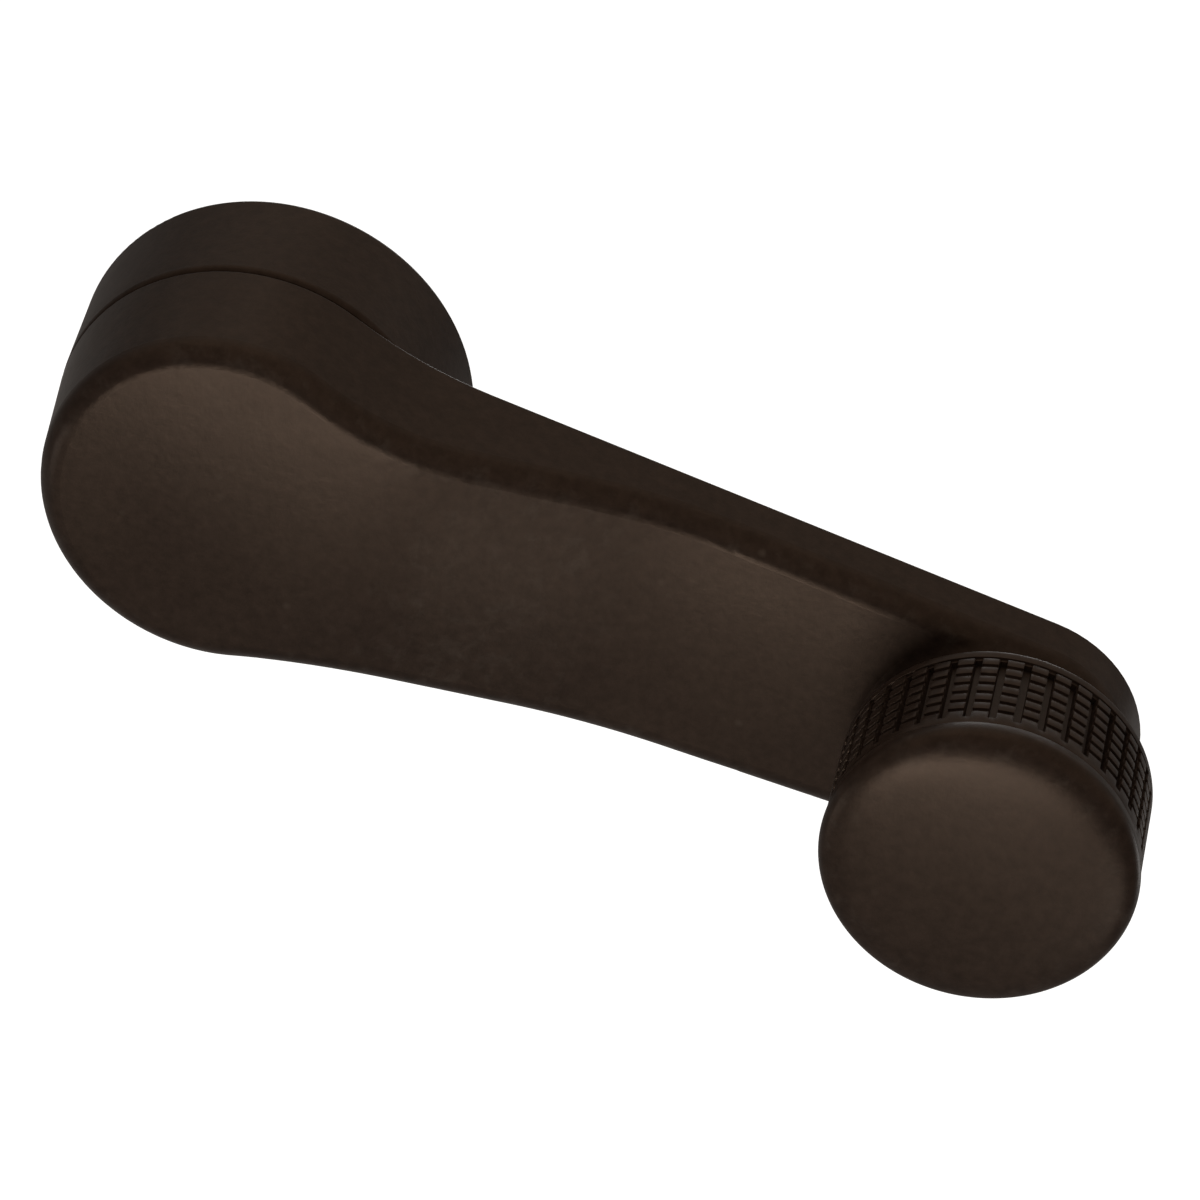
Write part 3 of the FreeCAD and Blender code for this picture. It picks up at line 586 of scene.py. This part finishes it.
def plastic_colour(material, place, mottle, edges, light):
    tone = add_noise(material, place, TONE_SCALE, detail=4, roughness=0.55)
    even = mix_colours(material, remap(material, tone, TONE_RANGE, NONE_TO_ALL), DARK, light)
    mottled = scale_colour(material, even, remap(material, mottle, MOTTLE_RANGE, MOTTLE_SHARES))
    # The rounded edges are painted paler in patches, partly as wear and partly as a painted highlight
    # along them.
    wear_and_highlight_patches = add_noise(material, place, WEAR_AND_HIGHLIGHT_SCALE, detail=4, roughness=0.65, distortion=0.3)
    worn_and_highlit = multiply(material, edges, remap(material, wear_and_highlight_patches, WEAR_AND_HIGHLIGHT_RANGE, (0, MOST_WEAR_AND_HIGHLIGHT)))
    rubbed_and_highlit = mix_colours(material, worn_and_highlit, mottled, WORN_AND_HIGHLIGHT)
    return mix_colours(material, dust_share(material, place), rubbed_and_highlit, DUST)


# %% Vary the plastic's gloss
HANDLING_SCALE = 75
HANDLING_RANGE = (0.3, 0.7)
POLISH = 0.88


def plastic_roughness(material, place, edges, roughness_range):
    handling = add_noise(material, place, HANDLING_SCALE, detail=5, roughness=0.6, distortion=0.4)
    uneven = remap(material, handling, HANDLING_RANGE, roughness_range)
    return multiply(material, uneven, remap(material, edges, NONE_TO_ALL, (1, POLISH)))


# %% Grain the plastic's surface
WAVE_SCALE = 30
WAVE_STRENGTH = 0.35
WAVE_DEPTH = 0.25 * MILLIMETRE
MOTTLE_DEPTH = 0.05 * MILLIMETRE
GRAIN_SCALE = 1900
GRAIN_STRENGTH = 0.5


def plastic_grain(material, place, mottle, grain_depth):
    waves = add_bump(material, add_noise(material, place, WAVE_SCALE), WAVE_STRENGTH, WAVE_DEPTH)
    leather = add_bump(material, mottle, GRAIN_STRENGTH, MOTTLE_DEPTH, under=waves)
    fine = add_noise(material, place, GRAIN_SCALE, detail=3, roughness=0.6)
    return add_bump(material, fine, GRAIN_STRENGTH, grain_depth, under=leather)


# %% Make the three plastics
MOTTLE_SCALE = 800
SHINE = 0.15
SHINE_TINT = (1.0, 0.70, 0.50, 1)


def satin_plastic(name, light, roughness_range, grain_depth):
    material, shader, place = new_finish(name)
    shader.inputs["Specular IOR Level"].default_value = SHINE
    shader.inputs["Specular Tint"].default_value = SHINE_TINT
    mottle = add_noise(material, place, MOTTLE_SCALE, detail=4, roughness=0.6)
    edges = edge_share(material)
    join_shader(
        material, shader,
        colour=plastic_colour(material, place, mottle, edges, light),
        roughness=plastic_roughness(material, place, edges, roughness_range),
        normal=plastic_grain(material, place, mottle, grain_depth))
    return material


arm_plastic = satin_plastic(
    "arm_plastic", light=(0.0175, 0.0113, 0.0084),
    roughness_range=(0.31, 0.37), grain_depth=0.020 * MILLIMETRE)
ring_plastic = satin_plastic(
    "ring_plastic", light=(0.0172, 0.0111, 0.0084),
    roughness_range=(0.38, 0.44), grain_depth=0.022 * MILLIMETRE)
knob_plastic = satin_plastic(
    "knob_plastic", light=(0.0175, 0.0113, 0.0084),
    roughness_range=(0.33, 0.38), grain_depth=0.018 * MILLIMETRE)

# %% [markdown]
# ## The metal pieces
#
# The socket in the hub is pressed from metal powder, so it is grey, dull and full of tiny dark pits.
# The clip is drawn spring wire with a grey-brown oiled skin, and the conical spring washer is given
# the same. The pin, its washer and the retaining ring are turned and zinc plated, which leaves fine
# rings and a pale, slightly yellow shine.

# %% Make the sintered metal
PIT_SCALE = 2600
PIT_RANGE = (0.30, 0.46)
PIT_COLOUR = (0.09, 0.08, 0.07)
SKIN_SCALE = 260
SKIN_RANGE = (0.35, 0.65)

sintered, shader, place = new_finish("cast_metal")
pits = add_noise(sintered, place, PIT_SCALE, detail=3, roughness=0.65)
skin = remap(sintered, add_noise(sintered, place, SKIN_SCALE, detail=3), SKIN_RANGE, NONE_TO_ALL)
grey = mix_colours(sintered, skin, (0.30, 0.285, 0.27), (0.42, 0.41, 0.395))
shader.inputs["Metallic"].default_value = 1.0
join_shader(
    sintered, shader,
    colour=mix_colours(sintered, remap(sintered, pits, PIT_RANGE, ALL_TO_NONE), grey, PIT_COLOUR),
    roughness=remap(sintered, skin, NONE_TO_ALL, (0.58, 0.44)))

# %% Make the spring wire
DRAWN_STRETCH = (60, 2500, 2500)
OIL_SCALE = 320
OIL_RANGE = (0.4, 0.65)
LINE_STRENGTH = 0.3
LINE_DEPTH = 0.01 * MILLIMETRE

wire, shader, place = new_finish("spring_wire")
stretch = wire.node_tree.nodes.new("ShaderNodeMapping")
stretch.inputs["Scale"].default_value = DRAWN_STRETCH
wire.node_tree.links.new(place, stretch.inputs["Vector"])
draw_lines = add_noise(wire, stretch.outputs["Vector"], scale=1, detail=3, roughness=0.6)
oil = remap(wire, add_noise(wire, place, OIL_SCALE, detail=3), OIL_RANGE, NONE_TO_ALL)
shader.inputs["Metallic"].default_value = 1.0
join_shader(
    wire, shader,
    colour=mix_colours(wire, oil, (0.36, 0.34, 0.31), (0.20, 0.17, 0.14)),
    roughness=remap(wire, oil, NONE_TO_ALL, (0.30, 0.45)),
    normal=add_bump(wire, draw_lines, LINE_STRENGTH, LINE_DEPTH))

# %% Make the plated steel with its turning rings
TURNING_SCALE = 1400
TURNING_STRENGTH = 0.25
TURNING_DEPTH = 0.01 * MILLIMETRE
BLOOM_SCALE = 210
BLOOM_RANGE = (0.35, 0.7)

plated, shader, place = new_finish("plated_steel")
centre = plated.node_tree.nodes.new("ShaderNodeMapping")
centre.inputs["Location"].default_value = (-knob_across, 0, 0)
plated.node_tree.links.new(place, centre.inputs["Vector"])
rings = plated.node_tree.nodes.new("ShaderNodeTexWave")
rings.wave_type = "RINGS"
rings.rings_direction = "Y"
rings.inputs["Scale"].default_value = TURNING_SCALE
rings.inputs["Distortion"].default_value = 1.5
rings.inputs["Detail"].default_value = 2
plated.node_tree.links.new(centre.outputs["Vector"], rings.inputs["Vector"])
clouds = add_noise(plated, place, BLOOM_SCALE, detail=4, roughness=0.6)
bloom = remap(plated, clouds, BLOOM_RANGE, NONE_TO_ALL)
shader.inputs["Metallic"].default_value = 1.0
join_shader(
    plated, shader,
    colour=mix_colours(plated, bloom, (0.60, 0.60, 0.575), (0.46, 0.44, 0.37)),
    roughness=remap(plated, bloom, NONE_TO_ALL, (0.26, 0.42)),
    normal=add_bump(plated, rings.outputs["Fac"], TURNING_STRENGTH, TURNING_DEPTH))

# %% [markdown]
# ## The bearing pieces
#
# The bush in the knob and the thrust washer below it are a hard natural white plastic. It has yellowed
# unevenly with age, and its grain is fine and shallow.

# %% Make the natural bearing plastic
AGE_SCALE = 150
AGE_RANGE = (0.35, 0.65)
SHALLOW_SCALE = 1800
SHALLOW_STRENGTH = 0.2
SHALLOW_DEPTH = 0.01 * MILLIMETRE

bearing, shader, place = new_finish("bearing_plastic")
age = remap(bearing, add_noise(bearing, place, AGE_SCALE, detail=3), AGE_RANGE, NONE_TO_ALL)
fine = add_noise(bearing, place, SHALLOW_SCALE)
join_shader(
    bearing, shader,
    colour=mix_colours(bearing, age, (0.66, 0.63, 0.54), (0.58, 0.54, 0.44)),
    roughness=remap(bearing, age, NONE_TO_ALL, (0.34, 0.46)),
    normal=add_bump(bearing, fine, SHALLOW_STRENGTH, SHALLOW_DEPTH))

# %% [markdown]
# ## Giving each piece its finish
#
# A table below gives the finish that each solid takes. The pieces of the model keep their meshes, and
# only their material slots are filled. The two new pieces of the knob take the knob's plastic.

# %% Fill the material slots
finishes = {
    "crank_arm": arm_plastic,
    "lock_ring": ring_plastic,
    "knob_barrel": knob_plastic,
    "knob_cap": knob_plastic,
    "spindle_insert": sintered,
    "lock_clip": wire,
    "knob_pin": plated,
    "pin_washer": plated,
    "disc_spring": wire,
    "retaining_ring": plated,
    "thrust_washer": bearing,
    "knob_bush": bearing,
}


def fill_slot(piece, finish):
    piece.data.materials.clear()
    piece.data.materials.append(finish)


for name, piece in nodes.items():
    fill_slot(piece, finishes[name])
for piece in (grip, cap):
    fill_slot(piece, knob_plastic)
print("finishes given to", len(nodes), "solids, the grip and the cap")

# %% [markdown]
# ## The white table
#
# The photograph shows the handle on pure white. A wide white table with raised, curved sides gives
# that from every side. It shows itself white to the camera and through anything clear. In reflections
# it glows only faintly, and to all other light it is plain grey card, because a bright table would
# light the handle's dark lower edges from below, and the photograph keeps them dark.

# %% Build the table and its raised sides
TABLE_LEVEL = -0.45
TABLE_RADIUS = 1.0
TABLE_COLUMNS = 96
SIDE_STEPS = ((1.25, -0.43), (1.45, -0.36), (1.56, -0.25), (1.60, -0.10), (1.61, 0.50))
table = add_ring("white_table", TABLE_RADIUS, TABLE_LEVEL, TABLE_COLUMNS, fill="NGON")
pick(table, "edges", is_open)
walk_profile((TABLE_RADIUS, TABLE_LEVEL), SIDE_STEPS)
select_only(table)
bpy.ops.object.shade_smooth()
print("table top at level", TABLE_LEVEL)

# %% Paint the table
WHITE = (1.0, 1.0, 1.0)
CARD_GREY = (0.30, 0.30, 0.30)
CARD_ROUGHNESS = 0.9
GLOW_SHARES = {"Is Camera Ray": 0.97, "Is Glossy Ray": 0.08, "Is Transmission Ray": 0.97}

card = bpy.data.materials.new("white_card")
card.use_nodes = True
shader = card.node_tree.nodes["Principled BSDF"]
shader.inputs["Base Color"].default_value = (*CARD_GREY, 1)
shader.inputs["Roughness"].default_value = CARD_ROUGHNESS
shader.inputs["Emission Color"].default_value = (*WHITE, 1)
ray = card.node_tree.nodes.new("ShaderNodeLightPath")
glow = None
for kind, share in GLOW_SHARES.items():
    step = card.node_tree.nodes.new("ShaderNodeMath")
    step.operation = "MULTIPLY_ADD"
    card.node_tree.links.new(ray.outputs[kind], step.inputs[0])
    step.inputs[1].default_value = share
    step.inputs[2].default_value = 0
    if glow is not None:
        card.node_tree.links.new(glow, step.inputs[2])
    glow = step.outputs["Value"]
card.node_tree.links.new(glow, shader.inputs["Emission Strength"])
fill_slot(table, card)
print("table painted with", card.name)

# %% [markdown]
# ## The camera
#
# The photograph looks at the handle from in front and above, with the camera turned so that the arm
# slopes down to the right. A long lens keeps the far end nearly as large as the near end. The
# distance, height and turn were worked out from the ring's, head's and knob's outlines.

# %% Place the camera
AIM = Vector((0.04119, -0.01937, 0.00022))
DISTANCE = 0.53
HEIGHT_ANGLE = math.radians(33.457)
SIDE_ANGLE = math.radians(0.640)
ROLL = math.radians(20.567)
FOCAL_MILLIMETRES = 150.04
SENSOR_MILLIMETRES = 36
NEAREST_SEEN = 0.01
UPRIGHT = Vector((0, 0, 1))

look = Vector((
    math.sin(SIDE_ANGLE) * math.cos(HEIGHT_ANGLE),
    math.cos(SIDE_ANGLE) * math.cos(HEIGHT_ANGLE),
    -math.sin(HEIGHT_ANGLE)))
level_right = look.cross(UPRIGHT).normalized()
level_up = level_right.cross(look)
right = level_right * math.cos(ROLL) + level_up * math.sin(ROLL)
up = right.cross(look)
turn = Matrix((right, up, -look)).transposed().to_4x4()
lens = bpy.data.cameras.new("camera")
lens.lens = FOCAL_MILLIMETRES
lens.sensor_width = SENSOR_MILLIMETRES
lens.clip_start = NEAREST_SEEN
camera = bpy.data.objects.new("camera", lens)
bpy.context.scene.collection.objects.link(camera)
camera.matrix_world = Matrix.Translation(AIM - look * DISTANCE) @ turn
bpy.context.scene.camera = camera
print("camera at", [round(place, 3) for place in camera.matrix_world.translation])

# %% [markdown]
# ## The lights
#
# The dark satin plastic shows mostly what it reflects, so each lamp stands where one kind of surface
# mirrors it. A wide, low lamp in front makes the flat faces shine softly towards the camera. Two lamps
# further down, to its right and left, fill the neck's slope and the knob's shoulders. A large weak
# lamp high behind and a small one at the right light the walls that look up in the picture. Between
# the front lamp and the sky lies a dark gap, and the rounded front edges reflect it as the dark band
# that the photograph shows. Two small lamps behind are for other views: they let the ribs of the
# hollow back be told from the pockets, and they stand clear of what the side walls mirror towards the
# camera.

# %% Define how a lamp is hung
LAMP_DISTANCE = 0.8


def add_lamp(name, side_degrees, height_degrees, width, height, watts, colour):
    """A soft lamp that faces the handle, at its angle to the right of the front and its angle above."""
    side, rise = math.radians(side_degrees), math.radians(height_degrees)
    direction = Vector((math.sin(side) * math.cos(rise), -math.cos(side) * math.cos(rise), math.sin(rise)))
    lamp = bpy.data.lights.new(name, "AREA")
    lamp.shape = "RECTANGLE"
    lamp.size = width
    lamp.size_y = height
    lamp.energy = watts
    lamp.color = colour
    holder = bpy.data.objects.new(name, lamp)
    bpy.context.scene.collection.objects.link(holder)
    turn = direction.to_track_quat("Z", "Y").to_matrix().to_4x4()
    holder.matrix_world = Matrix.Translation(AIM + direction * LAMP_DISTANCE) @ turn
    holder.visible_camera = False
    return holder


# %% Hang the lamps
# A row has the name, the degrees to the right and up, the width and height, the watts and the colour.
WARM_WHITE = (1.0, 0.88, 0.77)
LAMPS = (
    ("front_lamp", -2, -17, 0.48, 0.16, 3.2, WHITE),
    ("low_right_lamp", 34, -28, 0.34, 0.22, 0.8, WHITE),
    ("low_left_lamp", -52, -35, 0.40, 0.25, 1.0, WHITE),
    ("top_lamp", -125, 65, 0.80, 0.70, 1.0, WARM_WHITE),
    ("side_lamp", 102, 25, 0.45, 0.40, 0.12, WARM_WHITE),
    ("back_lamp", 180, -3, 0.34, 0.22, 0.7, WHITE),
    ("back_right_lamp", 120, -12, 0.26, 0.26, 0.5, WHITE),
)
for row in LAMPS:
    lamp = add_lamp(*row)
    print("hung", lamp.name, "of", round(lamp.data.energy, 2), "W")

# %% [markdown]
# ## The sky
#
# A soft, slightly warm sky fills the shadows and gives the sheen along the outline. The camera sees it
# as plain white, like the table.

# %% Light the sky
SKY_LIGHT = (0.56, 0.495, 0.435)
sky = bpy.data.worlds.new("soft_sky")
bpy.context.scene.world = sky
sky.use_nodes = True
seen_by = sky.node_tree.nodes.new("ShaderNodeLightPath")
sky_colour = mix_colours(sky, seen_by.outputs["Is Camera Ray"], SKY_LIGHT, WHITE)
sky.node_tree.links.new(sky_colour, sky.node_tree.nodes["Background"].inputs["Color"])
bpy.context.scene.view_settings.view_transform = "Standard"
print("sky:", sky.name)

# %% [markdown]
# ## Finishing up
#
# Edit mode is left and nothing stays selected.

# %% Leave edit mode and clear the selection
start_clean()
